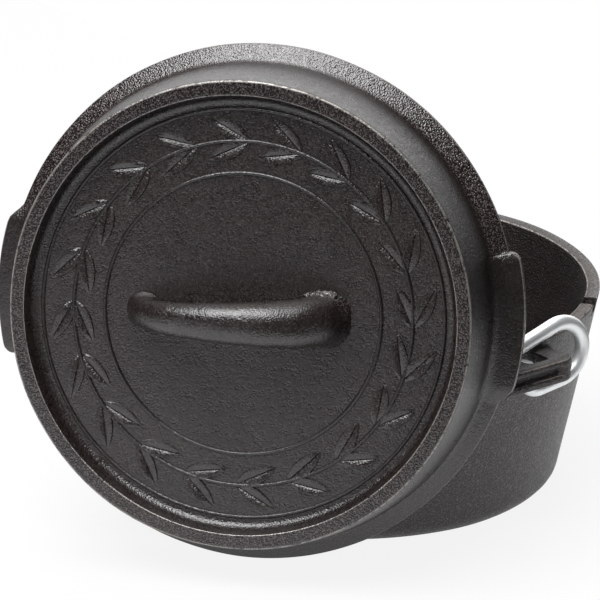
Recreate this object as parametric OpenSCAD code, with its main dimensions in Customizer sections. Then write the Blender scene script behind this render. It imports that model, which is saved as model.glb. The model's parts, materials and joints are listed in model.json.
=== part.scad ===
// Camp dutch oven of about one litre: cast iron pot, cast iron lid and a wire bail, in millimetres.
// The pot stands on its flat base at the origin, its ears lie on X, and the lid leans on the bail in front.

/* [Pot] */
// Outside diameter at the rim
pot_rim_d = 176; // [150:1:200]
// Height of the pot from base to rim
pot_h = 72; // [64:1:90]
// Outside diameter where the wall meets the rounded bottom corner
pot_base_d = 148; // [130:1:160]
// Radius of the bottom corner outside
pot_corner_r = 7; // [4:0.5:12]
// Thickness of the wall, and width of the rim's face
pot_wall = 5.2; // [4:0.1:7]
// Thickness of the pot's floor
pot_floor = 6; // [4:0.5:9]
// Rounding of the rim's edges
rim_edge = 0.8; // [0.4:0.1:1.2]
// Width of the slot through the rim for a thermometer lead
slot_w = 7; // [4:0.5:10]
// Depth of that slot
slot_depth = 5; // [3:0.5:7]
// Bearing of the slot from the right-hand ear
slot_bearing = 38; // [30:1:60]

/* [Ears] */
// Spacing of the two legs of each ear
ear_leg_gap = 29.5; // [26:0.5:36]
// How far the ears sit behind the middle of the pot
ear_shift = 1.75; // [0:0.25:3]
// Diameter of an ear's leg
ear_leg_d = 6.2; // [5:0.1:7]
// How far the bail's pivot lies below the pot's rim
pivot_drop = 3.8; // [2:0.2:8]
// How far the legs lie below the pivot
ear_drop = 4.3; // [3:0.1:4.5]
// Depth of the outer bar of the ear from its inner to its outer face
ear_bar_t = 5; // [4:0.5:8]
// Rounding of the bar's outer corners, seen from above
ear_corner = 6; // [4:0.5:7]
// Depth of the lip that hangs below the legs
ear_lip = 2; // [1:0.5:4]
// Depth of the groove in the bar's outer face
ear_groove = 1.8; // [0.5:0.1:2.5]

/* [Bail] */
// Diameter of the wire
wire_d = 5.2; // [4:0.1:6]
// Radius of the round back of each end loop, to the wire's centre
loop_r = 10.6; // [10:0.1:12]
// Gap between the wire and the pot's rim as the bail swings past it
bail_side_gap = 0.9; // [0.6:0.1:3]
// Angle at which the loop's return strand closes on the bow
loop_close = 10; // [6:1:14]
// Straight run of the return strand
loop_return = 10; // [8:0.5:12]
// Bend radius at the front of the loop
loop_bend_r = 6.5; // [6:0.5:8]
// Turn of that bend
loop_bend = 110; // [100:5:120]
// Length of the wire's tip past the bend
loop_tip = 3.6; // [2:0.2:4]

/* [Lid] */
// How far the lid's flange reaches past the pot's rim
lid_overhang = 2; // [1:0.5:4]
// Thickness of the flange at its edge
flange_edge = 1.6; // [1:0.1:3]
// Height of the flange where the wall rises from it
flange_h = 5; // [3.5:0.5:7]
// Width of the sloped top of the flange
flange_w = 5.7; // [4:0.1:8]
// Height of the coal rim above the flange's seat
lid_h = 32; // [26:0.5:38]
// How far the coal rim's wall draws in on the way up
lid_draw = 3.5; // [2:0.5:6]
// Width of the flat top of the coal rim
coal_rim_w = 4; // [3:0.5:6]
// Depth of the coal tray
tray_depth = 6; // [4:0.5:9]
// Draw of the tray's inner wall
tray_draw = 2.5; // [1:0.5:4]
// Thickness of the lid's floor
lid_floor = 4.8; // [4:0.1:7]
// Thickness of the lid's wall at its foot
lid_wall = 4.6; // [4:0.1:6]
// Height of the ring that centres the lid in the pot
ring_h = 2.5; // [1.5:0.5:4]
// Play between that ring and the pot
ring_play = 0.6; // [0.3:0.1:1.5]
// How far the two pry lugs reach past the flange
lug_reach = 3.6; // [2:0.1:6]
// Half the angle that a lug spans
lug_half = 16; // [10:1:20]

/* [Handle] */
// Diameter of the handle's bar
handle_d = 14; // [12:0.5:16]
// Overall length of the handle
handle_len = 74; // [64:1:90]
// Finger gap between the bar's middle and the lid's floor
handle_gap = 9.5; // [8:0.5:14]
// Bend radius at the handle's shoulders, to the bar's centre
handle_bend_r = 12; // [10:0.5:14]
// Half the angle of the handle's gentle crown
handle_crown = 10; // [6:1:14]
// Flare of the handle's feet
handle_flare = 2.2; // [1:0.1:3]

/* [Leaning lid] */
// Angle of the lid's axis from upright
lid_lean = 78.7; // [74:0.1:84]
// Bearing that the lid's top faces, from the right-hand ear
lid_bearing = -51; // [-60:1:-45]
// Sideways shift of the lid along the floor
lid_shift = -17.5; // [-22:0.5:-12]

/* [Hidden] */
$fn = 96;
// Running clearance where one piece rests on or turns round another
clear = 0.3;
// Straight runs of a bar are a hair thicker than its bends and lap into them
swell = 0.04;
lap = 0.3;
rim_r = pot_rim_d / 2;
base_r = pot_base_d / 2;
wire_r = wire_d / 2;
leg_r = ear_leg_d / 2;
back_y = ear_shift + ear_leg_gap / 2;
front_y = ear_shift - ear_leg_gap / 2;
pivot_h = pot_h - pivot_drop;
leg_z = pivot_h - ear_drop;
pot_taper = atan((rim_r - base_r) / (pot_h - pot_corner_r));
arc_steps = 8;

// Points of an arc about a centre, from one angle to another
function arc(centre, r, from, to) =
    [for (i = [0 : arc_steps])
        let (a = from + (to - from) * i / arc_steps)
        centre + r * [cos(a), sin(a)]];

// Outside radius of the pot's wall at a height above the corner
function pot_r(z) = base_r + (rim_r - base_r) * (z - pot_corner_r) / (pot_h - pot_corner_r);

// The bail turns about a line along X, just behind the legs that carry its loops
loop_behind = 1.5;
pivot_y = back_y + loop_behind;
eye_x = rim_r + bail_side_gap + wire_r;
// Held level, the bow is concentric with the pot, so its straight legs reach from the pivot to the pot's middle
bail_leg = pivot_y;
front_leg = [pivot_y - front_y, ear_drop];
wire_over_leg = loop_r - leg_r - wire_r - clear;
leg_dip = atan2(front_leg[1], front_leg[0]) + asin(wire_over_leg / norm(front_leg));

// A point of the bail's right half, with t from 0 at the loop to 1 at the middle of the bow
function bow_point(t, dip) =
    let (s = bail_leg + eye_x * sin(90 * t))
    [eye_x * cos(90 * t),
     pivot_y - s * cos(dip) - loop_r * sin(dip),
     pivot_h - s * sin(dip) + loop_r * cos(dip)];

// Least distance of the wire's centre from the pot's wall, where the wire is not above the rim
function wall_gap(dip) =
    min([for (i = [0 : 60])
        let (p = bow_point(i / 60, dip))
        p[2] > pot_h + wire_r + clear ? rim_r : norm([p[0], p[1]]) - pot_r(min(p[2], pot_h))]);

// The bail drops until its wire meets the front legs of the ears, or the pot where that comes first
function dropped(dip) = wall_gap(dip) < wire_r + clear ? dropped(dip - 0.2) : dip;
rest_dip = dropped(leg_dip);

// The outer bar of an ear, from the running gap beside the loop outwards
bar_inner = eye_x + wire_r + 2 * clear;
bar_outer = bar_inner + ear_bar_t;
bar_half = ear_leg_gap / 2 + leg_r + clear;
bar_h = 2 * leg_r + ear_lip;
bar_z = leg_z - leg_r - ear_lip;
// The groove's place and height, as shares of the bar's height
groove_low = 0.36;
groove_share = 0.36;

lid_r = rim_r + lid_overhang;
lid_wall_r = lid_r - flange_w;
coal_rim_r = lid_wall_r - lid_draw;
tray_r = coal_rim_r - coal_rim_w;
tray_z = lid_h - tray_depth;
under_z = tray_z - lid_floor;
ring_r = rim_r - pot_wall - ring_play;
hollow_r = lid_wall_r - lid_wall;
hollow_fillet = 5;
lug_r = lid_r + lug_reach;

// The leaning lid: its axis, the level line across it and the line up its face
lid_axis = [cos(lid_bearing) * sin(lid_lean), sin(lid_bearing) * sin(lid_lean), cos(lid_lean)];
lid_level = [-sin(lid_bearing), cos(lid_bearing), 0];
lid_up = cross(lid_axis, lid_level);
function lid_at(d) =
    d * [cos(lid_bearing), sin(lid_bearing), 0] + lid_shift * lid_level + [0, 0, lid_r * sin(lid_lean)];

// Least distance of the wire's centre from the lower inner edge of the lid's ring, with the lid at distance d
function edge_gap(d) =
    min([for (i = [0 : 240])
        let (q = bow_point(i / 240, rest_dip) - lid_at(d))
        norm([norm([q * lid_level, q * lid_up]) - hollow_r, q * lid_axis + ring_h])]);

// Points round the front of the right-hand ear: along its leg, and round the bar's corner
ear_front = concat(
    [for (x = [rim_r : bar_inner]) [x, front_y - leg_r, leg_z]],
    [for (a = [0 : 10 : 90], z = [bar_z, bar_z + bar_h])
        [bar_outer - ear_corner * (1 - sin(a)), ear_shift - bar_half + ear_corner * (1 - cos(a)), z]]);

// Room between the front of that ear and the lid's underside, with the lid at distance d
function ear_room(d) =
    min([for (p = ear_front)
        let (q = p - lid_at(d), r = norm([q * lid_level, q * lid_up]))
        (r < hollow_r - clear ? rim_r : r < ring_r + clear ? -ring_h : 0) - q * lid_axis]);

// The lid is slid up to the pot from in front until its ring meets the wire or its flange the ear
function slid_up(d, step) =
    edge_gap(d - step) < wire_r + clear || ear_room(d - step) < clear
        ? (step < 0.01 ? d : slid_up(d, step / 4))
        : slid_up(d - step, step);
lid_distance = slid_up(rim_r + lid_h, 1);

// A straight run of a bar up the Z axis, lapped into the bends at both ends
module straight(r, h) {
    translate([0, 0, -lap])
        cylinder(r = r + swell, h = h + 2 * lap);
}

// The bar of an ear seen from above, drawn in by an inset
module ear_bar_plan(inset) {
    outer = bar_outer - inset;
    half = bar_half - inset;
    corner = ear_corner - inset;
    translate([eye_x, -half])
        square([outer - corner - eye_x, 2 * half]);
    translate([eye_x, corner - half])
        square([outer - eye_x, 2 * (half - corner)]);
    for (side = [-1, 1])
        translate([outer - corner, side * (half - corner)])
            circle(corner);
}

module ear() {
    root_x = sqrt(pow(pot_r(leg_z) - pot_wall / 2, 2) - back_y * back_y);
    for (y = [front_y, back_y])
        translate([root_x, y, leg_z])
            rotate([0, 90, 0])
                cylinder(r = leg_r, h = (bar_inner + bar_outer) / 2 - root_x);
    translate([0, ear_shift, bar_z])
        difference() {
            linear_extrude(bar_h)
                ear_bar_plan(0);
            translate([0, -pot_rim_d / 2, -bar_h])
                cube([bar_inner, pot_rim_d, 3 * bar_h]);
            translate([0, 0, bar_h * groove_low])
                linear_extrude(bar_h * groove_share)
                    difference() {
                        translate([eye_x, -pot_rim_d / 2])
                            square([pot_rim_d, pot_rim_d]);
                        ear_bar_plan(ear_groove);
                    }
        }
}

module pot() {
    color("#2a2826")
    union() {
        difference() {
            rotate_extrude()
                polygon(concat(
                    [[0, 0]],
                    arc([base_r - pot_corner_r, pot_corner_r], pot_corner_r, -90, -pot_taper),
                    [[rim_r - rim_edge * tan(pot_taper), pot_h - rim_edge],
                     [rim_r - rim_edge, pot_h],
                     [rim_r - pot_wall + rim_edge, pot_h],
                     [rim_r - pot_wall, pot_h - rim_edge]],
                    arc([base_r - pot_wall - pot_corner_r, pot_floor + pot_corner_r],
                        pot_corner_r, -pot_taper, -90),
                    [[0, pot_floor]]));
            rotate([0, 0, slot_bearing])
                translate([rim_r - 2 * pot_wall, -slot_w / 2, pot_h - slot_depth])
                    cube([4 * pot_wall, slot_w, 2 * slot_depth]);
        }
        ear();
        mirror([1, 0, 0])
            ear();
    }
}

// A lug is a stretch of the flange that reaches further out and sweeps up into the wall
module lug() {
    sweep_r = lug_r - lid_wall_r;
    rotate([0, 0, -lug_half])
        rotate_extrude(angle = 2 * lug_half)
            polygon(concat(
                [[lid_wall_r - lid_wall / 2, 0], [lug_r, 0]],
                arc([lug_r, flange_h / 2 + sweep_r], sweep_r, -90, -172),
                [[lid_wall_r - lid_wall / 2, flange_h / 2 + sweep_r]]));
}

module handle() {
    bar_r = handle_d / 2;
    post_y = handle_len / 2 - bar_r;
    bend_y = post_y - handle_bend_r;
    crown_r = handle_bend_r + bend_y / sin(handle_crown);
    crown_z = tray_z + handle_gap + bar_r;
    bend_z = crown_z - crown_r + bend_y / tan(handle_crown);
    trim = lap / handle_bend_r * 20;
    for (side = [0, 180])
        rotate([0, 0, side]) {
            translate([0, post_y, under_z + lid_floor / 2])
                straight(bar_r, bend_z - under_z - lid_floor / 2);
            translate([0, post_y, tray_z - lap])
                cylinder(r1 = bar_r + handle_flare + lap, r2 = bar_r - lap, h = handle_flare + 2 * lap);
            translate([0, bend_y, bend_z])
                rotate([0, -90, 0])
                    rotate([0, 0, handle_crown + trim])
                        rotate_extrude(angle = 90 - handle_crown - trim)
                            translate([handle_bend_r, 0])
                                circle(bar_r);
            translate([0, bend_y, bend_z])
                rotate([-handle_crown, 0, 0])
                    translate([0, 0, handle_bend_r])
                        rotate([-90, 0, 0])
                            straight(bar_r, 0);
        }
    translate([0, 0, crown_z - crown_r])
        rotate([0, -90, 0])
            rotate([0, 0, trim / 4 - handle_crown])
                rotate_extrude(angle = 2 * handle_crown - trim / 2)
                    translate([crown_r, 0])
                        circle(bar_r);
}

module lid_casting() {
    rotate_extrude()
        polygon(concat(
            [[0, under_z]],
            arc([tray_r - 2 * hollow_fillet / 3 - hollow_fillet, under_z - hollow_fillet], hollow_fillet, 90, 12),
            [[hollow_r, flange_h / 2],
             [hollow_r, -ring_h],
             [ring_r, -ring_h],
             [ring_r, 0],
             [lid_r, 0],
             [lid_r, flange_edge],
             [lid_wall_r, flange_h],
             [coal_rim_r, lid_h],
             [tray_r, lid_h]],
            arc([tray_r - tray_draw - 1.5, tray_z + 1.5], 1.5, -20, -90),
            [[0, tray_z]]));
    for (side = [90, 270])
        rotate([0, 0, side])
            lug();
    handle();
}

module lid() {
    color("#33302d")
    translate(lid_at(lid_distance))
        rotate([0, lid_lean, lid_bearing])
            lid_casting();
}

// One end of the wire: a round back, a return strand below and a tip that turns up to the bow
module end_loop() {
    start = [-loop_r * sin(loop_close), -loop_r * cos(loop_close)];
    run = [-cos(loop_close), sin(loop_close)];
    turn = start + loop_return * run;
    bend = turn + loop_bend_r * [sin(loop_close), cos(loop_close)];
    last = -(90 + loop_close + loop_bend);
    tip = bend + loop_bend_r * [cos(last), sin(last)];
    translate([eye_x, 0, 0]) {
        rotate([0, 90, 0])
            rotate([0, 0, -loop_close])
                rotate_extrude(angle = 180 + loop_close)
                    translate([loop_r, 0])
                        circle(wire_r);
        translate([0, start[0], start[1]])
            rotate([90 - loop_close, 0, 0])
                straight(wire_r, loop_return);
        translate([0, bend[0], bend[1]])
            rotate([0, 90, 0])
                rotate([0, 0, -loop_close - loop_bend])
                    rotate_extrude(angle = loop_bend)
                        translate([loop_bend_r, 0])
                            circle(wire_r);
        translate([0, tip[0], tip[1]])
            rotate([atan2(-sin(last), -cos(last)), 0, 0])
                straight(wire_r, loop_tip);
        translate([0, 0, loop_r])
            rotate([90, 0, 0])
                straight(wire_r, bail_leg);
    }
}

module bail() {
    color("#c3c7c9")
    translate([0, pivot_y, pivot_h])
        rotate([rest_dip, 0, 0])
            union() {
                end_loop();
                mirror([1, 0, 0])
                    end_loop();
                translate([0, -bail_leg, loop_r])
                    rotate([0, 0, 180])
                        rotate_extrude(angle = 180)
                            translate([eye_x, 0])
                                circle(wire_r);
            }
}

pot();
lid();
bail();
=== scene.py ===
import json
import math

import bpy
import numpy as np
from mathutils import Matrix, Vector, kdtree, noise


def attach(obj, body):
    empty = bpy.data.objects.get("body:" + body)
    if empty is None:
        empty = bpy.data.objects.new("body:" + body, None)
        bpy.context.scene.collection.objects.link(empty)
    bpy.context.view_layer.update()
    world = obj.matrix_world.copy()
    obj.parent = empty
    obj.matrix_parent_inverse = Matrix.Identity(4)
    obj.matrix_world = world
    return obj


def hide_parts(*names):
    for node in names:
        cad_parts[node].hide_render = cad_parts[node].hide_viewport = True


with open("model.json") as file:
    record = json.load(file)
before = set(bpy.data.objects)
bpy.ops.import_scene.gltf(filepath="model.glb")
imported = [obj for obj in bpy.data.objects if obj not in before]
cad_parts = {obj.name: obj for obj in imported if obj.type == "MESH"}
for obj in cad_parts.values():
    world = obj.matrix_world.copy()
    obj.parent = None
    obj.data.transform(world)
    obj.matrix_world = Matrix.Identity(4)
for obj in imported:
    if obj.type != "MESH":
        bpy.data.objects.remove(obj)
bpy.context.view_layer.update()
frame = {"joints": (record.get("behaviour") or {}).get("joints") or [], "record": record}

# The pot: a flat-bottomed pot sand-cast in grey iron and baked with oil to a satin brown-black skin.
# Its wall draws in towards a rounded bottom corner, its rim is ground flat, and a slot in the rim lets
# a thermometer lead out under the lid.
mm = 0.001
pot_rim_r = 88.0
pot_base_r = 74.0
pot_foot_r = 72.49
pot_height = 72.0
pot_wall = 5.2
pot_floor = 6.0
pot_corner = 6.8
pot_columns = 300
slot_bearing = math.radians(38)
slot_width = 7.0
slot_depth = 5.0
run_step = 3.0
arc_step = math.radians(14)
sharp_edge = 1.5
worn_width = 0.5
worn_fall = 0.9
rim_wear = 0.5
coarse_spot = (pot_rim_r, 4.0, 66.0)
coarse_reach = 26.0


def rounded(corners):
    """Rows of r, z and edge wear along an outline of (r, z, radius) corners, with its solid on the left."""
    rows = []
    for index, (r, z, radius) in enumerate(corners):
        here = Vector((r, z))
        turn = [(r, z, 0.0)]
        if radius:
            before = (Vector(corners[index - 1][:2]) - here).normalized()
            after = (Vector(corners[index + 1][:2]) - here).normalized()
            opening = before.angle(after)
            middle = here + (before + after).normalized() * radius / math.sin(opening / 2)
            first = here + before * radius / math.tan(opening / 2) - middle
            left = before.y * after.x - before.x * after.y > 0
            steps = max(3, math.ceil((math.pi - opening) / arc_step))
            turn = []
            for step in range(steps + 1):
                angle = (math.pi - opening) * step / steps * (1 if left else -1)
                spoke = Vector((
                    first.x * math.cos(angle) - first.y * math.sin(angle),
                    first.x * math.sin(angle) + first.y * math.cos(angle)))
                worn = 1 - worn_fall * abs(2 * step / steps - 1)
                turn.append((*(middle + spoke), worn if left and radius < sharp_edge else 0.0))
        if rows:
            last = rows[-1]
            gap = math.dist(last[:2], turn[0][:2])
            shares = np.linspace(0, 1, max(1, round(gap / run_step)) + 1)[1:-1]
            if gap > 3 * worn_width:
                shares = sorted({worn_width / gap, 1 - worn_width / gap, *shares})
            for share in shares:
                between_r = last[0] + (turn[0][0] - last[0]) * share
                between_z = last[1] + (turn[0][1] - last[1]) * share
                rows.append((between_r, between_z, 0.0))
        rows += turn
    return np.array(rows)


def put_in(name, points, faces, wear=None, sand=None):
    """A new object with a mesh of points in millimetres and its edge wear and sand marks as attributes."""
    mesh = bpy.data.meshes.new(name)
    mesh.from_pydata([tuple(point * mm for point in place) for place in points], [], faces)
    for label, marks in (("wear", wear), ("sand", sand)):
        values = np.zeros(len(points)) if marks is None else np.asarray(marks, dtype=float)
        mesh.attributes.new(label, "FLOAT", "POINT").data.foreach_set("value", values)
    piece = bpy.data.objects.new(name, mesh)
    bpy.context.scene.collection.objects.link(piece)
    return piece


def turned(name, outlines, bearings, sand=None):
    """A casting turned about Z from one outline for each bearing; outlines start and end on the axis."""
    rows = len(outlines[0])
    inner = rows - 2
    points = [(0, 0, outlines[0][0][1]), (0, 0, outlines[0][-1][1])]
    wear = [0, 0]
    for bearing, outline in zip(bearings, outlines):
        for r, z, worn in outline[1:-1]:
            points.append((r * math.cos(bearing), r * math.sin(bearing), z))
            wear.append(worn)
    faces = []
    count = len(bearings)
    for column in range(count):
        here, there = 2 + column * inner, 2 + (column + 1) % count * inner
        faces.append((0, there, here))
        faces.append((1, here + inner - 1, there + inner - 1))
        for row in range(inner - 1):
            faces.append((here + row, there + row, there + row + 1, here + row + 1))
    marks = None if sand is None else [sand(point) for point in points]
    return put_in(name, points, faces, wear, marks)


def uneven(piece, depth, size, seed):
    """The slight waviness of a sand mould: points move along their normals by a smooth noise."""
    shift = Vector((seed, seed * 1.7, seed * 0.6))
    moved = [point.co + point.normal * depth * mm * noise.noise(point.co / (size * mm) + shift)
             for point in piece.data.vertices]
    for point, place in zip(piece.data.vertices, moved):
        point.co = place


def plain_mesh(piece):
    """The piece's evaluated mesh, with its modifiers removed."""
    depsgraph = bpy.context.evaluated_depsgraph_get()
    mesh = bpy.data.meshes.new_from_object(piece.evaluated_get(depsgraph), depsgraph=depsgraph)
    piece.modifiers.clear()
    return mesh


def cast_as_one(piece, added=(), cut=()):
    """One closed skin from a casting, what is cast onto it and what is cut out of it."""
    marked = []
    for source in (piece, *added):
        wear, sand = source.data.attributes["wear"].data, source.data.attributes["sand"].data
        marked += [(point.co.copy(), wear[point.index].value, sand[point.index].value)
                   for point in source.data.vertices]
    finder = kdtree.KDTree(len(marked))
    for index, mark in enumerate(marked):
        finder.insert(mark[0], index)
    finder.balance()
    for operation, tools in (("DIFFERENCE", cut), ("UNION", added)):
        for tool in tools:
            modifier = piece.modifiers.new(tool.name, "BOOLEAN")
            modifier.operation = operation
            modifier.solver = "EXACT"
            modifier.object = tool
    piece.data = plain_mesh(piece)
    nearest = [finder.find(point.co)[1] for point in piece.data.vertices]
    piece.data.attributes["wear"].data.foreach_set("value", [marked[index][1] for index in nearest])
    piece.data.attributes["sand"].data.foreach_set("value", [marked[index][2] for index in nearest])
    for tool in (*added, *cut):
        bpy.data.objects.remove(tool)
    return piece


def smooth(piece, angle=42):
    """Smooth shading, apart from edges that turn by more than the angle in degrees."""
    piece.data.shade_smooth()
    piece.data.set_sharp_from_angle(angle=math.radians(angle))


pot_outline = rounded([
    (0, 0, 0),
    (pot_foot_r, 0, pot_corner),
    (pot_rim_r, pot_height, 0.9),
    (pot_rim_r - pot_wall, pot_height, 0.9),
    (pot_base_r - pot_wall + 0.5, pot_floor, 8.0),
    (0, pot_floor, 0)])


def pot_sand(point):
    """The mould left the pot's outer wall coarser than its inside, and most of all beside the ears."""
    outer = math.hypot(point[0], point[1]) - pot_base_r - (pot_rim_r - pot_base_r) * point[2] / pot_height
    from_ear = math.dist((abs(point[0]), point[1], point[2]), coarse_spot)
    beside_ear = max(0.0, 1 - from_ear / coarse_reach)
    return min(1.0, (0.9 + beside_ear) * (outer > -2.5) + 0.2 * (point[2] > pot_height - 0.5))


pot_bearings = [math.tau * column / pot_columns for column in range(pot_columns)]
pot_outline[(pot_outline[:, 1] > pot_height - 0.1) & (pot_outline[:, 2] < 0.5), 2] = rim_wear
pot = turned("pot_casting", [pot_outline] * pot_columns, pot_bearings, pot_sand)
uneven(pot, depth=0.25, size=26, seed=3.1)

slot_run = [pot_rim_r - 2 * pot_wall, pot_rim_r + pot_wall]
slot_box = [
    (along * math.cos(slot_bearing) - across * math.sin(slot_bearing),
     along * math.sin(slot_bearing) + across * math.cos(slot_bearing), height)
    for height in (pot_height - slot_depth, pot_height + slot_depth)
    for along, across in (
        (slot_run[0], -slot_width / 2), (slot_run[1], -slot_width / 2),
        (slot_run[1], slot_width / 2), (slot_run[0], slot_width / 2))]
lead_slot = put_in("lead_slot", slot_box, [
    (3, 2, 1, 0), (4, 5, 6, 7), (0, 1, 5, 4), (1, 2, 6, 5), (2, 3, 7, 6), (3, 0, 4, 7)])

# The ears: a pair cast on the pot's wall, each with two round legs and an outer bar that keeps the bail's
# loop on the back leg. The bar's outer face has a groove with a lip below it, and the legs run into the
# wall through cast fillets.
leg_r = 3.1
leg_z = 63.9
legs_y = (-13.0, 16.5)
ear_middle = 1.75
bar_inner = 94.7
bar_outer = 99.7
bar_half = 18.15
bar_corner = 6.0
bar_low = 60.2
bar_high = 68.4
groove_depth = 1.8
ear_edge = 0.7
ear_sand = 0.3
ear_wear = 0.75


def stacked(name, levels, worn, rough=0.0):
    """A closed skin through level outlines of equal count, each a list of points, from low to high."""
    count = len(levels[0])
    points = [point for level in levels for point in level]
    faces = [tuple(reversed(range(count))), tuple(range(len(points) - count, len(points)))]
    for level in range(len(levels) - 1):
        for spot in range(count):
            here, there = level * count + spot, level * count + (spot + 1) % count
            faces.append((here, there, there + count, here + count))
    wear = [mark for mark in worn for spot in range(count)]
    return put_in(name, points, faces, wear, [rough] * len(points))


def ear_bar(side):
    """The bar's outlines by height, drawn in at its edges and in a groove that stops short of its ends."""
    groove_low = bar_low + 0.36 * (bar_high - bar_low)
    groove_high = groove_low + 0.36 * (bar_high - bar_low)
    heights = [
        (bar_low, ear_edge, 0, 0.6), (bar_low + 0.2, 0.3, 0, 1), (bar_low + ear_edge, 0, 0, 0.3),
        (groove_low - 0.6, 0, 0, 0.2), (groove_low - 0.1, 0, 0.3, 1), (groove_low, 0, 0.7, 0.3),
        (groove_low + 0.5, 0, groove_depth - 0.3, 0), (groove_low + 1.0, 0, groove_depth, 0),
        (groove_high - 0.7, 0, groove_depth - 0.2, 0), (groove_high, 0, 0.6, 0),
        (groove_high + 0.3, 0, 0.15, 1), (groove_high + 0.8, 0, 0, 0.2),
        (bar_high - ear_edge, 0, 0, 0.3), (bar_high - 0.2, 0.3, 0, 1), (bar_high, ear_edge, 0, 0.7)]
    centre_x = bar_outer - bar_corner
    centre_y = bar_half - bar_corner
    flat = centre_y * np.array([-1, -0.94, -0.88, -0.82, -0.6, -0.2, 0.2, 0.6, 0.82, 0.88, 0.94, 1])
    cut_in = np.clip((0.94 * centre_y - np.abs(flat)) / (0.12 * centre_y), 0, 1)
    levels = []
    for height, edge, groove, worn in heights:
        corner = bar_corner - edge
        open_angle = math.acos((bar_inner + edge - centre_x) / corner)
        sweep = [open_angle * step / 8 for step in range(1, 9)]
        level = [(centre_x + corner * math.cos(a), ear_middle - centre_y - corner * math.sin(a), height)
                 for a in reversed(sweep)]
        level += [(bar_outer - edge - groove * share, ear_middle + place, height)
                  for place, share in zip(flat, cut_in)]
        level += [(centre_x + corner * math.cos(a), ear_middle + centre_y + corner * math.sin(a), height)
                  for a in sweep]
        if side < 0:
            level = [(-x, y, z) for x, y, z in reversed(level)]
        levels.append(level)
    return stacked("ear_bar", levels, [ear_wear * height[3] for height in heights], ear_sand)


def ear_leg(side, leg_y):
    """A leg along X from the wall into the bar: round below, with a flat web towards the ear's hole."""
    inward = 1 if leg_y < ear_middle else -1
    lift = bar_high - leg_z - leg_r if inward < 0 else 0.0
    section = [(leg_r * math.cos(angle), leg_r * math.sin(angle))
               for angle in np.linspace(math.radians(112), math.radians(330), 24)]
    section += [(4.3, 0.4), (5.2, 1.3), (5.7, 2.2), (5.6, 2.8), (5.1, 3.08)]
    section += [(across, leg_r) for across in (3.4, 1.6, 0.2)]
    wall_x = math.sqrt((pot_base_r + (pot_rim_r - pot_base_r) * leg_z / pot_height) ** 2 - leg_y ** 2)
    start, end = wall_x - 2.6, bar_inner + 1.5
    levels = []
    for step in range(17):
        x = start + (end - start) * step / 16
        root = max(0.0, 1 - max(0.0, x - wall_x + 1.0) / 4.2)
        tip = max(0.0, 1 - max(0.0, bar_inner - x) / 1.6)
        spread = 1 + 0.55 * root ** 2.2 + 0.12 * tip ** 2
        highest = leg_r + 1.2 * root ** 2.2
        level = []
        for across, rise in section:
            foot = leg_z + (lift if rise > 0.3 else 0)
            level.append((side * x, leg_y + inward * across * spread, foot + min(rise * spread, highest)))
        levels.append(level if side * inward > 0 else level[::-1])
    return stacked("ear_leg", levels, [0.0] * len(levels), ear_sand)


cast_as_one(
    pot,
    added=[ear_bar(side) for side in (1, -1)] + [ear_leg(side, y) for side in (1, -1) for y in legs_y],
    cut=[lead_slot])
smooth(pot)


class Socket:
    """A socket of a node tree: arithmetic on it adds Math nodes, and node() adds any other node."""

    def __init__(self, tree, socket=None):
        self.tree = tree
        self.socket = socket

    def node(self, kind, settings=None, sockets=None, out=0):
        """A new node with its settings and the values or links of its sockets, as one of its outputs."""
        made = self.tree.nodes.new(kind)
        for key, value in (settings or {}).items():
            setattr(made, key, value)
        for key, value in (sockets or {}).items():
            if isinstance(value, Socket):
                self.tree.links.new(value.socket, made.inputs[key])
            else:
                made.inputs[key].default_value = value
        return Socket(self.tree, made.outputs[out])

    def math(self, operation, first, second):
        return self.node("ShaderNodeMath", {"operation": operation}, {0: first, 1: second})

    def __add__(self, other):
        return self.math("ADD", self, other)

    def __radd__(self, other):
        return self.math("ADD", other, self)

    def __sub__(self, other):
        return self.math("SUBTRACT", self, other)

    def __rsub__(self, other):
        return self.math("SUBTRACT", other, self)

    def __mul__(self, other):
        return self.math("MULTIPLY", self, other)

    def __rmul__(self, other):
        return self.math("MULTIPLY", other, self)

    def __truediv__(self, other):
        return self.math("DIVIDE", self, other)

    def __rtruediv__(self, other):
        return self.math("DIVIDE", other, self)

    def band(self, low, high):
        """0 below low, 1 above high and a smooth step between."""
        return self.node("ShaderNodeMapRange", {"interpolation_type": "SMOOTHSTEP"},
                         {"Value": self, "From Min": low, "From Max": high})

    def blend(self, first, second):
        """A colour between two, with this socket as the share of the second."""
        return self.node("ShaderNodeMix", {"data_type": "RGBA"}, {0: self, 6: first, 7: second}, out=2)

    def grain(self, per_mm, detail=2.0, rough=0.55):
        """Noise on this socket's coordinates, with its features at so many to the millimetre."""
        return self.node("ShaderNodeTexNoise", None,
                         {"Vector": self, "Scale": per_mm / mm, "Detail": detail, "Roughness": rough})


def new_material(name):
    """A material, its shader node and a wrapped socket of its tree."""
    material = bpy.data.materials.new(name)
    material.use_nodes = True
    return material, material.node_tree.nodes["Principled BSDF"], Socket(material.node_tree)


def feed(shader, **sockets):
    """Links wrapped sockets to the shader's inputs of the same names."""
    for label, value in sockets.items():
        value.tree.links.new(value.socket, shader.inputs[label.replace("_", " ")])


sand_speck = (0.135, 0.113, 0.113, 1)
rust_bloom = (0.085, 0.063, 0.047, 1)
bare_iron = (0.40, 0.38, 0.36, 1)


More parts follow.
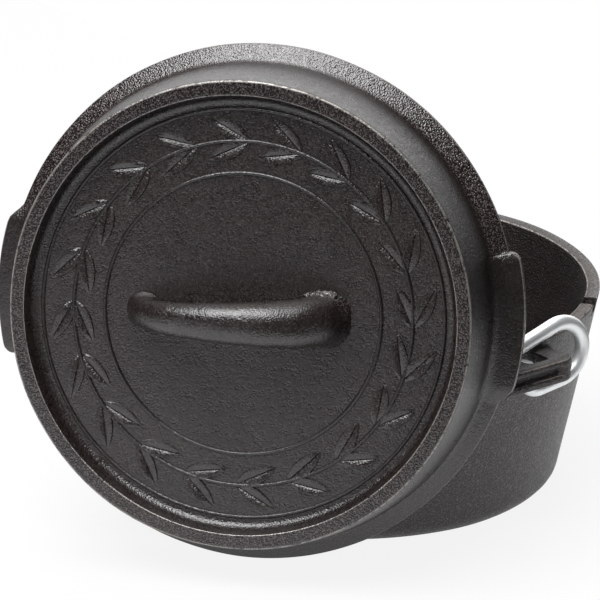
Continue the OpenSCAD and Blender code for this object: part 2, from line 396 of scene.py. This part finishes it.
def seasoned_iron(name, skin, warm, gloss, sheen, pebble_depth, sand_depth, specks_per_mm, speck_from):
    """Oil-seasoned cast iron: a dark skin in patches, sand grain, and bare bright edges where it rubs."""
    material, shader, start = new_material(name)
    at = start.node("ShaderNodeTexCoord", out="Object")
    wear = start.node("ShaderNodeAttribute", {"attribute_name": "wear"}, out="Fac")
    sand = start.node("ShaderNodeAttribute", {"attribute_name": "sand"}, out="Fac")
    cloud = at.grain(0.045, 3.0)
    patch = at.grain(0.22, 3.0)
    pebble = at.grain(0.70, 1.0)
    speck = at.grain(specks_per_mm, 0.5)
    height = pebble * pebble_depth + speck * (sand_depth + sand * 0.10) + patch * 0.14
    rubbed = wear.band(0.35, 0.95) * (patch * 0.6 + pebble * 0.6).band(0.42, 0.64)
    rusty = wear.band(0.1, 0.8) * cloud.band(0.46, 0.62)
    ground = wear.band(0.25, 0.45) * (1 - wear.band(0.55, 0.75))
    colour = cloud.band(0.35, 0.65).blend((*skin, 1), (*warm, 1))
    # The sand marks set the share of light sand specks. On the lid this share is partly painted highlight,
    # on the flange's upper half, and partly painted shade, on the lugs.
    specked = speck.band(speck_from, speck_from + 0.14) * (0.05 + sand * 0.80)
    colour = specked.blend(colour, sand_speck)
    colour = (rusty * 0.5).blend(colour, rust_bloom)
    colour = (rubbed * 0.8).blend(colour, bare_iron)
    bump = start.node("ShaderNodeBump", None, {"Strength": 1.0, "Distance": mm, "Height": height})
    shader.inputs["Specular IOR Level"].default_value = sheen
    satin = gloss + (patch - 0.5) * 0.22 + (pebble - 0.5) * 0.20 - sand * 0.13
    feed(shader, Base_Color=colour, Normal=bump, Metallic=rubbed * 0.45,
         Roughness=satin + rusty * 0.15 + ground * 0.28)
    return material


pot_iron = seasoned_iron(
    "pot_iron", skin=(0.0060, 0.0029, 0.0031), warm=(0.0130, 0.0068, 0.0070), gloss=0.49, sheen=0.74,
    pebble_depth=0.13, sand_depth=0.38, specks_per_mm=1.5, speck_from=0.50)
pot.data.materials.clear()
pot.data.materials.append(pot_iron)
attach(pot, "pot")
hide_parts("pot")

# The lid: a hat-shaped sand casting in grey iron, hollow below. A ring under its flange centres it in the
# pot, its wall rises to the coal rim, and the sunken tray inside that rim holds embers. Two lugs reach out
# from the flange in line with the handle, for prying the lid off.
lid_r = 90.0
flange_low = 1.6
flange_high = 5.0
seat_r = 84.0
ring_r = 82.2
ring_inner_r = 79.7
ring_drop = 2.5
hollow_r = 72.6
hollow_z = 21.2
lug_r = 93.6
lug_low = 2.6
lug_high = 5.6
lug_half = 16.0
lug_end = 0.6
lug_round = 2.4
lug_fade = 5.0
lug_top = 14.0
lid_wall_r = 84.3
coal_rim_r = 80.8
coal_rim_z = 32.0
tray_r = 75.7
tray_z = 26.0
lid_columns = 300
tray_flat_r = 71.0
tray_corner_r = 72.5
tray_mark_up = 45.0
tray_sand = 0.22

tray_mount = next(mount for mount in frame["record"]["mounts"] if mount["name"] == "coal_tray")
lid_axis = Vector(tray_mount["axis"])
lid_level = Vector((0, 0, 1)).cross(lid_axis).normalized()
lid_up = lid_axis.cross(lid_level)
lid_seat = Vector(tray_mount["pos_m"]) - lid_up * tray_mark_up * mm - lid_axis * tray_z * mm
lid_place = Matrix.Translation(lid_seat) @ Matrix((-lid_up, lid_level, lid_axis)).transposed().to_4x4()


def even(rows, count):
    """Rows of an outline taken again at equal steps along it."""
    steps = np.hypot(np.diff(rows[:, 0]), np.diff(rows[:, 1]))
    along = np.concatenate(([0], np.cumsum(steps)))
    places = np.linspace(0, along[-1], count)
    return np.column_stack([np.interp(places, along, rows[:, column]) for column in range(3)])


def lid_edge(rows, split):
    """The flange's seat, edge and top, each with a fixed count of rows; its edge lies outside the split."""
    edge = np.flatnonzero(rows[:, 0] > split)
    first, last = edge[0], edge[-1]
    return np.concatenate([
        even(rows[:first + 1], 5), even(rows[first:last + 1], 14)[1:], even(rows[last:], 24)[1:]])


wall_slope = (lid_wall_r - coal_rim_r) / (coal_rim_z - flange_high)
wall_at_top = lid_wall_r - wall_slope * (lug_top - flange_high)
lid_under = rounded([
    (0, hollow_z, 0),
    (hollow_r, hollow_z, 5.0),
    (ring_inner_r, ring_drop, 4.0),
    (ring_inner_r, -ring_drop, 0.7),
    (ring_r, -ring_drop, 0.7),
    (ring_r, 0, 0.6),
    (seat_r, 0, 0)])
flange_plain = rounded([
    (seat_r, 0, 0),
    (lid_r, 0, 0.45),
    (lid_r, flange_low, 0.55),
    (lid_wall_r, flange_high, 2.2),
    (wall_at_top, lug_top, 0)])
flange_lug = rounded([
    (seat_r, 0, 0),
    (lug_r, 0, 0.4),
    (lug_r, lug_low, 0.8),
    (lid_wall_r - 0.6, lug_high, 6.0),
    (wall_at_top, lug_top, 0)])
lid_top = rounded([
    (wall_at_top, lug_top, 0),
    (coal_rim_r, coal_rim_z, 1.1),
    (tray_r, coal_rim_z, 0.6),
    (tray_r - 1.9, tray_z, 3.2),
    (0, tray_z, 0)])
plain_rows = lid_edge(flange_plain, lid_r - 0.7)
lug_rows = lid_edge(flange_lug, lug_r - 0.8)


def lid_outline(bearing):
    """The lid's outline at a bearing: a lug starts with a sharp step and fades out at its other end."""
    degrees = math.degrees(bearing)
    off = degrees - 90 if degrees < 180 else degrees - 270
    inward = min(1.0, max(0.0, (lug_half - off) / lug_round))
    step = min(1.0, max(0.0, (lug_half + lug_end / 2 - off) / lug_end))
    fade = min(1.0, max(0.0, (lug_half + lug_fade / 2 + off) / lug_fade))
    fade = fade * fade * (3 - 2 * fade)
    reach = fade * math.sqrt(1 - (1 - inward) ** 2)
    shares = np.array([reach, step * fade, step * fade])
    return np.concatenate([lid_under[:-1], plain_rows * (1 - shares) + lug_rows * shares, lid_top[1:]])


def lid_sand_and_painted_light(point):
    """How coarse the mould left the lid: most on the flange, less on the coal rim and in the tray. On the
    flange the marks also paint light: more light specks on its upper half as painted highlight, and fewer on
    the lugs as painted shade.
    """
    r, z = math.hypot(point[0], point[1]), point[2]
    flange = min(1.0, max(0.0, (r - lid_wall_r + 0.6) / 0.8)) * min(1.0, max(0.0, (8 - z) / 3))
    # Painted highlight: the flange's light specks are heavier on its upper half, which faces the overhead
    # key box.
    flange *= 0.3 + 0.7 * min(1.0, max(0.0, 0.1 - 1.6 * point[0] / max(r, 1.0)))
    # Painted shade: the lugs get fewer light specks, so their faces stay dark.
    lug_painted_shade = min(1.0, max(0.0, abs(point[1]) - 0.955 * r))
    in_corner = 0.2 * (abs(r - tray_corner_r) < 3 and z > 20)
    on_rim = 0.6 * (r > tray_r - 0.5 and z > coal_rim_z - 0.4)
    on_tray = tray_sand * (r < tray_flat_r and z > 20)
    return max(flange * (1 - 0.95 * lug_painted_shade), in_corner, on_rim, on_tray)


lug_end_steps = (-0.35, -0.15, 0.0, 0.05, 0.15, 0.3, 0.5, 0.8, 1.6, 2.0)
lid_degrees = [360 * column / lid_columns for column in range(lid_columns)]
for lug_middle in (90, 270):
    lid_degrees += [lug_middle + lug_half - inside for inside in lug_end_steps]
lid_degrees = sorted(set(round(degree, 3) for degree in lid_degrees))
lid_bearings = [math.radians(degree) for degree in lid_degrees]
lid = turned("lid_casting", [lid_outline(bearing) for bearing in lid_bearings], lid_bearings, lid_sand_and_painted_light)
uneven(lid, depth=0.22, size=24, seed=8.4)

# The lid's handle: an arched bar of rounded section, cast in one with the lid across its tray. It thickens
# towards its right-hand end, where the gate of the mould left a rough crust round the foot.
arch_half = 31.2
arch_rise = 18.3
arch_power = 2.1
arch_foot_z = 25.0
arch_up = -0.6
arch_along = -3.3
arch_turn = math.radians(1.6)
handle_r = 6.8
handle_taper = 0.06
foot_flare = 1.3
crust_depth = 1.5
section_power = 2.35


def handle_bar():
    """Rings of the bar along the arch, from its left foot to its right one, with the crust as sand marks."""
    turns = [math.pi * step / 90 for step in range(91)]
    path = [Vector((-arch_half, arch_foot_z - 2.0)), Vector((-arch_half, arch_foot_z - 0.5))]
    for turn in turns:
        along, rise = math.cos(turn), math.sin(turn)
        path.append(Vector((
            -arch_half * math.copysign(abs(along) ** (2 / arch_power), along),
            arch_foot_z + arch_rise * rise ** (2 / arch_power))))
    path += [Vector((arch_half, arch_foot_z - 0.5)), Vector((arch_half, arch_foot_z - 2.0))]
    even_path = even(np.array([(*place, 0) for place in path]), 150)
    path = [Vector(place[:2]) for place in even_path]
    sides = 72
    rings, crust = [], []
    for index, place in enumerate(path):
        ahead = (path[min(index + 1, len(path) - 1)] - path[max(index - 1, 0)]).normalized()
        flare = foot_flare * max(0.0, 1 - max(0.0, place.y - tray_z) / 2.6) ** 2
        r = handle_r + handle_taper * place.x + flare
        crusty = max(0.0, 1 - abs(place.y - tray_z - 1.0) / 2.2) if place.x > 0 else 0.0
        for spot in range(sides):
            turn = math.tau * spot / sides
            up_side = -math.sin(turn)
            rough = crusty * max(0.0, min(1.0, 2.5 * up_side + 0.6 - 0.6 * math.cos(turn)))
            lump = noise.noise(Vector((place.y, 9 * math.cos(turn), 9 * math.sin(turn))) * 1.3)
            squared = abs(math.cos(turn)) ** section_power + abs(up_side) ** section_power
            reach = r * squared ** (-1 / section_power) + crust_depth * rough * (0.25 + lump)
            across, along = -reach * up_side, place.x - ahead.y * reach * math.cos(turn)
            rings.append((across * math.cos(arch_turn) - along * math.sin(arch_turn) - arch_up,
                          across * math.sin(arch_turn) + along * math.cos(arch_turn) + arch_along,
                          place.y + ahead.x * reach * math.cos(turn)))
            crust.append(max(tray_sand, rough))
    rings = [rings[start:start + sides] for start in range(0, len(rings), sides)]
    bar = stacked("handle_bar", rings, [0.0] * len(rings))
    bar.data.attributes["sand"].data.foreach_set("value", crust)
    return bar


handle = handle_bar()
uneven(handle, depth=0.30, size=9, seed=5.3)
cast_as_one(lid, added=[handle])
smooth(lid)
lid.data.transform(lid_place)
lid_iron = seasoned_iron(
    "lid_iron", skin=(0.0060, 0.0027, 0.0024), warm=(0.0095, 0.0049, 0.0042), gloss=0.32, sheen=1.0,
    pebble_depth=0.09, sand_depth=0.15, specks_per_mm=1.9, speck_from=0.50)
lid.data.materials.clear()
lid.data.materials.append(lid_iron)
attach(lid, "lid")
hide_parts("lid")

# The wreath on the lid: low relief cast on the tray's floor round the handle, as a plain ornament. Paired
# leaves follow each other along a round stem, between two fine raised rings.
leaf_length = 16.5
leaf_width = 6.4
leaf_height = 0.8
leaf_pairs = 20
leaf_lean = math.radians(27)
wreath_r = 59.5
wreath_ring_gap = 11.0
wreath_ring_r = 0.7
wreath_sink = 0.15


def leaf():
    """One pointed leaf along X with a flat top, steep sides and a sunken middle vein."""
    shares = (0.0, 0.12, 0.3, 0.5, 0.7, 0.88, 1.0)
    across = (-1.0, -0.88, -0.14, 0.0, 0.14, 0.88, 1.0)
    domes = (0.0, 0.9, 1.0, 0.35, 1.0, 0.9, 0.0)
    points, faces = [], []
    for share in shares:
        half = leaf_width / 2 * (math.sin(math.pi * share ** 0.85) ** 0.8 if 0 < share < 1 else 0.04)
        for place, dome in zip(across, domes):
            rise = leaf_height * dome * min(1.0, 4 * min(share, 1 - share)) ** 0.7
            points.append((leaf_length * share, half * place, rise - wreath_sink))
    wide = len(across)
    for step in range(len(shares) - 1):
        for spot in range(wide - 1):
            here = step * wide + spot
            faces.append((here, here + wide, here + wide + 1, here + 1))
    rim = [step * wide for step in range(len(shares))]
    rim += [(len(shares) - 1) * wide + spot for spot in range(1, wide)]
    rim += [step * wide + wide - 1 for step in range(len(shares) - 2, -1, -1)]
    rim += [spot for spot in range(wide - 2, 0, -1)]
    faces.append(tuple(reversed(rim)))
    return put_in("leaf", points, faces, sand=[tray_sand] * len(points))


def new_tree(name, inputs):
    """A Geometry Nodes tree with its named inputs, and a wrapped socket for each."""
    tree = bpy.data.node_groups.new(name, "GeometryNodeTree")
    tree.interface.new_socket("Geometry", in_out="INPUT", socket_type="NodeSocketGeometry")
    tree.interface.new_socket("Geometry", in_out="OUTPUT", socket_type="NodeSocketGeometry")
    for label, kind in inputs.items():
        tree.interface.new_socket(label, in_out="INPUT", socket_type=kind)
    entry = tree.nodes.new("NodeGroupInput")
    return tree, {label: Socket(tree, entry.outputs[label]) for label in ("Geometry", *inputs)}


def grown(piece, tree, made, values):
    """The plain mesh that the tree grows on the piece, once it ends in what is made and has its values."""
    tree.links.new(made.socket, tree.nodes.new("NodeGroupOutput").inputs[0])
    modifier = piece.modifiers.new(tree.name, "NODES")
    modifier.node_group = tree
    for item in tree.interface.items_tree:
        if item.in_out == "INPUT" and item.name in values:
            modifier[item.identifier] = values[item.name]
    return plain_mesh(piece)


wreath_tree, size = new_tree("wreath", {
    "Pairs": "NodeSocketInt", "Radius": "NodeSocketFloat", "Lean": "NodeSocketFloat",
    "Ring gap": "NodeSocketFloat", "Ring radius": "NodeSocketFloat", "Iron": "NodeSocketMaterial"})
stems = size["Pairs"].node("GeometryNodeMeshCircle", None, {
    "Vertices": size["Pairs"], "Radius": size["Radius"]})
turn = stems.node("GeometryNodeInputIndex") * math.tau / size["Pairs"]
bead = stems.node("GeometryNodeCurvePrimitiveCircle", None, {
    "Resolution": 10, "Radius": size["Ring radius"]})
parts = []
for way in (1, -1):
    facing = turn + (math.pi / 2 + way * size["Lean"])
    parts.append(stems.node("GeometryNodeInstanceOnPoints", None, {
        "Points": stems, "Instance": size["Geometry"],
        "Rotation": stems.node("ShaderNodeCombineXYZ", None, {"Z": facing})}))
for place in (-1, 0, 1):
    ring = stems.node("GeometryNodeCurvePrimitiveCircle", None, {
        "Resolution": 180, "Radius": size["Radius"] + place * size["Ring gap"]})
    parts.append(ring.node("GeometryNodeCurveToMesh", None, {"Curve": ring, "Profile Curve": bead}))
whole = stems.node("GeometryNodeJoinGeometry")
for part in parts:
    wreath_tree.links.new(part.socket, whole.socket.node.inputs[0])
whole = whole.node("GeometryNodeRealizeInstances", None, {"Geometry": whole})
whole = whole.node("GeometryNodeSetMaterial", None, {"Geometry": whole, "Material": size["Iron"]})
wreath = leaf()
wreath.name = "lid_wreath"
wreath.data = grown(wreath, wreath_tree, whole, {
    "Pairs": leaf_pairs, "Radius": wreath_r * mm, "Lean": leaf_lean, "Ring gap": wreath_ring_gap * mm,
    "Ring radius": wreath_ring_r * mm, "Iron": lid_iron})
smooth(wreath, angle=60)
wreath.data.transform(lid_place @ Matrix.Translation((0, 0, tray_z * mm)))
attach(wreath, "lid")

# The bail: one length of zinc-plated steel wire, bent cold into a half-round bow. At each end the wire
# turns back on itself round the back leg of an ear, and its tip closes the loop against the bow.
wire_r = 2.6
wire_sides = 28
eye_x = 91.5
loop_r = 10.6
loop_close = math.radians(10)
loop_return = 10.0
loop_bend_r = 6.5
loop_bend = math.radians(110)
loop_tip = 3.6

swing = next(joint for joint in frame["joints"] if joint["name"] == "bail_swing")
pivot = Vector(swing["pos_m"])
bail_leg = pivot.y / mm
rest_dip = math.radians(swing["range_deg"][1] - 180) / 2


def loop_points():
    """Points (y, z) of a loop about the pivot, from the wire's tip to the start of the straight leg."""
    start = Vector((-math.sin(loop_close), -math.cos(loop_close))) * loop_r
    turn = start + Vector((-math.cos(loop_close), math.sin(loop_close))) * loop_return
    bend = turn + Vector((math.sin(loop_close), math.cos(loop_close))) * loop_bend_r
    points = []
    for step in range(17):
        angle = -(math.pi / 2 + loop_close + loop_bend * (1 - step / 16))
        points.append(bend + Vector((math.cos(angle), math.sin(angle))) * loop_bend_r)
    tip_way = Vector((-math.sin(angle - loop_bend), math.cos(angle - loop_bend)))
    points.insert(0, points[0] - tip_way * loop_tip)
    points += [turn + (start - turn) * share for share in (0.25, 0.5, 0.75)]
    for step in range(41):
        angle = -math.pi / 2 - loop_close + (math.pi + loop_close) * step / 40
        points.append(Vector((math.cos(angle), math.sin(angle))) * loop_r)
    return points


right = [Vector((eye_x, y, z)) for y, z in loop_points()]
bow = []
for step in range(97):
    angle = math.pi * step / 96
    bow.append(Vector((eye_x * math.cos(angle), -bail_leg - eye_x * math.sin(angle), loop_r)))
left = [Vector((-x, y, z)) for x, y, z in reversed(right)]
bail_place = Matrix.Translation(pivot) @ Matrix.Rotation(rest_dip, 4, "X") @ Matrix.Scale(mm, 4)
bail_path = [bail_place @ place for place in right + bow + left]
line = bpy.data.curves.new("bail_line", "CURVE")
line.dimensions = "3D"
spline = line.splines.new("POLY")
spline.points.add(len(bail_path) - 1)
for point, place in zip(spline.points, bail_path):
    point.co = (*place, 1.0)
bail_line = bpy.data.objects.new("bail_line", line)
bpy.context.scene.collection.objects.link(bail_line)

zinc_bright = (0.94, 0.96, 0.97, 1)
zinc_dull = (0.80, 0.825, 0.84, 1)
zinc, zinc_shader, start = new_material("bail_zinc")
at = start.node("ShaderNodeTexCoord", out="Object")
bloom = at.grain(0.10, 3.0)
fleck = at.grain(0.9, 3.0)
scratch = at.node("ShaderNodeTexNoise", None, {
    "Vector": at.node("ShaderNodeVectorMath", {"operation": "MULTIPLY"}, {0: at, 1: (220, 2600, 2600)}),
    "Scale": 1.0, "Detail": 2.0})
dull = bloom.band(0.48, 0.70) * 0.5 + fleck.band(0.60, 0.78) * 0.35
feed(zinc_shader,
     Base_Color=dull.blend(zinc_bright, zinc_dull),
     Roughness=0.42 + dull * 0.16 + (scratch - 0.5) * 0.10,
     Normal=start.node("ShaderNodeBump", None, {
         "Strength": 1.0, "Distance": mm, "Height": fleck * 0.02 + scratch * 0.02}))
zinc_shader.inputs["Metallic"].default_value = 0.78

wire_tree, size = new_tree("bent_wire", {
    "Wire radius": "NodeSocketFloat", "Sides": "NodeSocketInt", "Zinc": "NodeSocketMaterial"})
profile = size["Sides"].node("GeometryNodeCurvePrimitiveCircle", None, {
    "Resolution": size["Sides"], "Radius": size["Wire radius"]})
wire = profile.node("GeometryNodeCurveToMesh", None, {
    "Curve": size["Geometry"], "Profile Curve": profile, "Fill Caps": True})
wire = wire.node("GeometryNodeRealizeInstances", None, {"Geometry": wire})
wire = wire.node("GeometryNodeSetMaterial", None, {"Geometry": wire, "Material": size["Zinc"]})
bail = bpy.data.objects.new("bail_wire", grown(bail_line, wire_tree, wire, {
    "Wire radius": wire_r * mm, "Sides": wire_sides, "Zinc": zinc}))
bpy.context.scene.collection.objects.link(bail)
bpy.data.objects.remove(bail_line)
smooth(bail)
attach(bail, "bail")
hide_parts("bail")

# The set: a sheet of white paper under the oven and a white backdrop behind it on the left. Two soft boxes
# hang overhead, a small card stands low in front, and a wide low box stands behind.
sheet_low = (-0.72, -0.49)
sheet_high = (0.30, 0.23)
sheet_corners = [sheet_low, (sheet_high[0], sheet_low[1]), sheet_high, (sheet_low[0], sheet_high[1])]
paper_low = (0.68, 0.68, 0.68, 1)
paper_high = (0.72, 0.72, 0.72, 1)
white = (1, 1, 1, 1)
floor = put_in("floor", [(x / mm, y / mm, 0) for x, y in sheet_corners], [(0, 1, 2, 3)])
paper = bpy.data.materials.new("floor_paper")
paper.use_nodes = True
paper_tree = paper.node_tree
paper_tree.nodes.clear()
start = Socket(paper_tree)
at = start.node("ShaderNodeTexCoord", out="Object")
tone = at.grain(0.004, 2.0).blend(paper_low, paper_high)
matt = start.node("ShaderNodeBsdfDiffuse", None, {"Color": tone})
glow = start.node("ShaderNodeEmission", None, {"Color": white, "Strength": 1.0})
seen = start.node("ShaderNodeLightPath", out="Is Camera Ray")
mirrored = start.node("ShaderNodeLightPath", out="Is Glossy Ray")
through = start.node("ShaderNodeLightPath", out="Is Transmission Ray")
cover = start.node("ShaderNodeMixShader", None, {
    0: seen * 0.88 + (mirrored + through) * 0.65, 1: matt, 2: glow})
paper_tree.links.new(cover.socket, paper_tree.nodes.new("ShaderNodeOutputMaterial").inputs[0])
floor.data.materials.append(paper)

backdrop_way = (-0.78, 0.63, 0.0)
room_level = 0.08
world = bpy.data.worlds.new("studio")
bpy.context.scene.world = world
world.use_nodes = True
world.node_tree.nodes.clear()
start = Socket(world.node_tree)
toward = start.node("ShaderNodeTexCoord", out="Generated")
dot = {"operation": "DOT_PRODUCT"}
behind = start.node("ShaderNodeVectorMath", dot, {0: toward, 1: backdrop_way}, out="Value")
above = start.node("ShaderNodeVectorMath", dot, {0: toward, 1: (0, 0, 1)}, out="Value")
backdrop = behind.band(0.56, 0.95) * above.band(-0.12, 0.03)
seen = start.node("ShaderNodeLightPath", out="Is Camera Ray")
through = start.node("ShaderNodeLightPath", out="Is Transmission Ray")
mirrored = start.node("ShaderNodeLightPath", out="Is Glossy Ray")
shown = seen + through + mirrored * backdrop
level = shown + (1 - shown) * (room_level + backdrop * (1 - room_level))
sky = start.node("ShaderNodeBackground", None, {"Color": white, "Strength": level})
world.node_tree.links.new(sky.socket, world.node_tree.nodes.new("ShaderNodeOutputWorld").inputs[0])

lit_middle = Vector((0.02, -0.04, 0.07))


def soft_box(name, direction, distance, width, height, power, colour=(1, 1, 1)):
    """An area lamp that faces the oven from a direction, in metres and watts."""
    lamp = bpy.data.lights.new(name, "AREA")
    lamp.shape = "RECTANGLE"
    lamp.size = width
    lamp.size_y = height
    lamp.energy = power
    lamp.color = colour
    holder = bpy.data.objects.new(name, lamp)
    way = Vector(direction).normalized()
    holder.location = lit_middle + way * distance
    holder.rotation_euler = way.to_track_quat("Z", "Y").to_euler()
    holder.visible_camera = False
    bpy.context.scene.collection.objects.link(holder)


soft_box("key_box", (0.09, -0.42, 0.90), 1.6, 1.4, 1.1, 35)
soft_box("top_box", (-0.22, 0.16, 0.96), 1.6, 1.2, 1.4, 14)
soft_box("low_card", (0.14, -0.99, -0.06), 0.38, 0.44, 0.12, 0.095, (0.97, 0.93, 1.0))
soft_box("rear_box", (-0.68, 0.64, 0.32), 2.0, 2.2, 0.6, 5)

# The camera: a long lens a little above the oven, in front of its right-hand side. It looks down slightly
# on the leaning lid, about sixteen degrees off the axis of its tray.
camera = bpy.data.cameras.new("camera")
camera.lens = 300.83
camera.sensor_width = 36
camera.clip_end = 50
viewer = bpy.data.objects.new("camera", camera)
viewer.location = (1.3237, -1.0442, 0.7052)
viewer.rotation_euler = (math.radians(69.174), 0, math.radians(52.411))
bpy.context.scene.collection.objects.link(viewer)
bpy.context.scene.camera = viewer
bpy.context.scene.view_settings.view_transform = "Standard"
